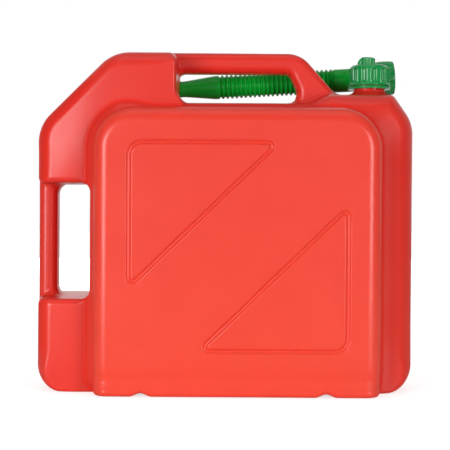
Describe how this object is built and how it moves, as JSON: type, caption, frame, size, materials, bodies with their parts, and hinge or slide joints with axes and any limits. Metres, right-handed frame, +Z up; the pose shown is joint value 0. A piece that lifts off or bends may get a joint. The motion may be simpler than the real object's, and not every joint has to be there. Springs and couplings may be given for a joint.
{
  "type": "plastic jerrycan",
  "caption": "Red blow-moulded fuel can with a carry handle, a side grip, a green screw cap with a vent, and a flexible pouring spout stored behind the handle.",
  "frame": {"origin": "centre of the base, on the plane that the foot stands on", "axes": "+Z up, +X towards the neck along the can's width, -Y towards the pictured front panel"},
  "size_m": [0.4068, 0.194, 0.3635],
  "materials": {
    "red_polyethylene": "semi-gloss, slightly mottled blow-moulded skin",
    "light_green": "glossy injection-moulded",
    "dark_green": "semi-gloss, soft blow-moulded",
    "gasket_rubber": "matt"
  },
  "bodies": {
    "tank": {"tank": "red_polyethylene"},
    "cap_slider": {"cap_gasket": "gasket_rubber"},
    "cap": {"screw_cap": "light_green"},
    "vent": {"vent_cap": "light_green"},
    "ring": {"tamper_ring": "light_green"},
    "spout": {"spout_hose": "dark_green", "spout_gasket": "gasket_rubber"},
    "nut": {"spout_nut": "light_green"}
  },
  "joints": [
    {"name": "cap_turn", "type": "hinge", "parent": "cap_slider", "child": "cap", "pos_m": [0.1573, 0, 0.329], "axis": [0, 0, 1], "range_deg": [0, 720]},
    {"name": "cap_lift", "type": "slide", "parent": "tank", "child": "cap_slider", "axis": [0, 0, 1], "range_m": [0, 0.00841]},
    {"name": "vent_flip", "type": "hinge", "parent": "cap", "child": "vent", "pos_m": [0.145, 0, 0.3533], "axis": [0, -1, 0], "range_deg": [0, 95]},
    {"name": "ring_spin", "type": "hinge", "parent": "tank", "child": "ring", "pos_m": [0.1573, 0, 0.3268], "axis": [0, 0, 1], "continuous": true},
    {"name": "spout_pull", "type": "slide", "parent": "tank", "child": "spout", "axis": [0.9981, 0, 0.061], "range_m": [0, 0.026]},
    {"name": "nut_spin", "type": "hinge", "parent": "spout", "child": "nut", "pos_m": [-0.0518, 0.042, 0.3283], "axis": [0.9981, 0, 0.061], "continuous": true}
  ],
  "couplings": [
    {"joint": "cap_lift", "follows": "cap_turn", "m_per_rad": 0.00066845}
  ]
}
